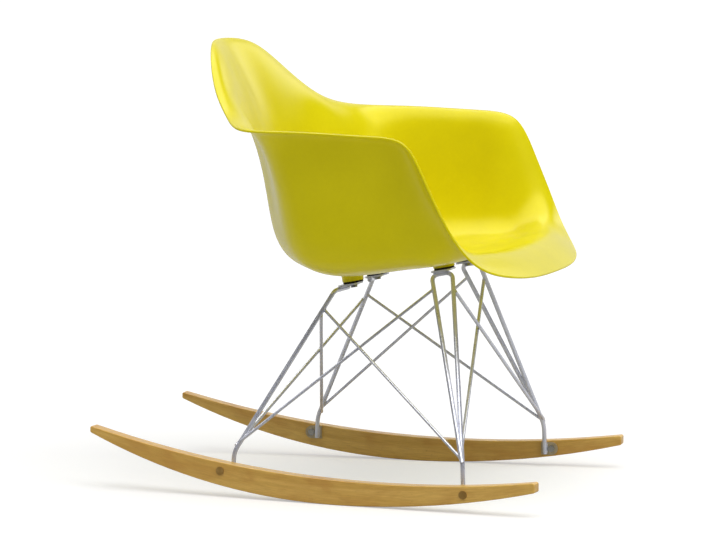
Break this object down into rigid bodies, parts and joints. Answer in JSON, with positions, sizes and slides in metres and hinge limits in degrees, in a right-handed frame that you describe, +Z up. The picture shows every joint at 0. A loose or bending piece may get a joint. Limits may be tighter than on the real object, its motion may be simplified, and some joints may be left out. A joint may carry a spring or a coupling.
{
  "type": "rocking armchair",
  "caption": "Moulded plastic bucket armchair on a crossed steel rod base that rocks on a pair of curved wooden runners.",
  "frame": {"origin": "on the floor under the middle of the overall box", "axes": "+Z up, the sitter faces -Y, and the sitter's left hand is on the +X side"},
  "size_m": [0.6374, 0.7874, 0.7427],
  "materials": {
    "shell_plastic": "satin moulded plastic, citron yellow, coloured through",
    "chromed_rod": "bright chromed steel rod",
    "zinc_steel": "zinc plated steel",
    "black_rubber": "matt black rubber",
    "brass_insert": "turned brass",
    "maple": "golden maple, clear satin lacquer"
  },
  "bodies": {
    "root": {"seat_shell": "shell_plastic", "threaded_inserts": "brass_insert", "rubber_pad_front_left": "black_rubber", "rubber_pad_front_right": "black_rubber", "rubber_pad_rear_left": "black_rubber", "rubber_pad_rear_right": "black_rubber", "mount_plate_front_left": "zinc_steel", "mount_plate_front_right": "zinc_steel", "mount_plate_rear_left": "zinc_steel", "mount_plate_rear_right": "zinc_steel", "mount_washers": "zinc_steel", "mount_screws": "zinc_steel", "front_leg_left": "chromed_rod", "front_leg_right": "chromed_rod", "rear_leg_left": "chromed_rod", "rear_leg_right": "chromed_rod", "front_cross_strut_left": "chromed_rod", "front_cross_strut_right": "chromed_rod", "rear_cross_strut_left": "chromed_rod", "rear_cross_strut_right": "chromed_rod", "side_wire_rising_left": "chromed_rod", "side_wire_rising_right": "chromed_rod", "side_wire_falling_left": "chromed_rod", "side_wire_falling_right": "chromed_rod", "foot_tab_front_left": "chromed_rod", "foot_tab_front_right": "chromed_rod", "foot_tab_rear_left": "chromed_rod", "foot_tab_rear_right": "chromed_rod", "runner_bolts": "zinc_steel", "runner_cap_nuts": "chromed_rod", "runner_left": "maple", "runner_right": "maple"}
  },
  "joints": []
}
